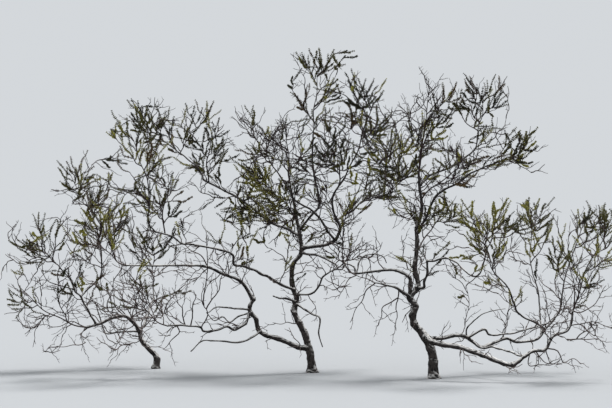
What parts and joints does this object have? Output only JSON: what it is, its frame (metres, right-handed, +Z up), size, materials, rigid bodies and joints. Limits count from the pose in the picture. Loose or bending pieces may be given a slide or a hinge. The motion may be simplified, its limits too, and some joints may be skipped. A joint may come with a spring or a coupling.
{
  "type": "acacia tree",
  "caption": "Low spreading acacia with gnarled grey stems from one root, long sprawling boughs, and an open crown of fine bare twigs and upright leafy shoots.",
  "frame": {"origin": "centre of the flat cut under the centre stem, at ground level", "axes": "+Z up; +X to the right and +Y away, as seen from the picture's side, which is the front"},
  "size_m": [5.4805, 2.4804, 2.91],
  "materials": {
    "bark": "rough, weathered grey bark",
    "leafy": "matt olive leaves on brown twigs",
    "twigs": "matt purple-brown bare twigs"
  },
  "bodies": {
    "root": {"centre_stem": "bark", "high_left_bough": "bark", "high_left_reach": "bark", "right_fork_bough": "bark", "spire_bough": "bark", "crossing_bough": "bark", "arching_right_bough": "bark", "front_left_arm": "bark", "left_crown_bough": "bark", "low_left_limb": "bark", "mid_left_bough": "bark", "low_left_arm": "bark", "centre_hook": "bark", "right_stem": "bark", "left_arm": "bark", "hooked_rise": "bark", "hooked_reach": "bark", "left_spur": "bark", "low_upper_arm": "bark", "curving_riser": "bark", "upright_riser": "bark", "low_lower_arm": "bark", "lower_arm_reach": "bark", "right_upper_bough": "bark", "right_thin_bough": "bark", "left_stem": "bark", "left_riser": "bark", "far_left_bough": "bark", "left_back_bough": "bark", "top_foliage": "leafy", "top_right_foliage": "leafy", "mid_right_foliage": "leafy", "centre_twigs": "twigs", "left_tangle": "twigs", "inner_left_foliage": "leafy", "high_left_inner_foliage": "leafy", "high_left_foliage": "leafy", "high_left_back_foliage": "leafy", "left_crown_foliage": "leafy", "left_mid_foliage": "leafy", "far_left_foliage": "leafy", "left_low_foliage": "leafy", "far_left_low_foliage": "leafy", "left_far_twigs": "twigs", "left_back_foliage": "leafy", "low_left_twigs": "twigs", "centre_low_twigs": "twigs", "mid_upright_foliage": "leafy", "right_inner_foliage": "leafy", "right_bare_spire": "twigs", "right_crown_foliage": "leafy", "right_peak_foliage": "leafy", "far_right_crown_foliage": "leafy", "right_mid_twigs": "twigs", "right_back_foliage": "leafy", "hooked_foliage": "leafy", "curving_foliage": "leafy", "upright_foliage": "leafy", "far_right_foliage": "leafy", "right_edge_foliage": "leafy"}
  },
  "joints": []
}
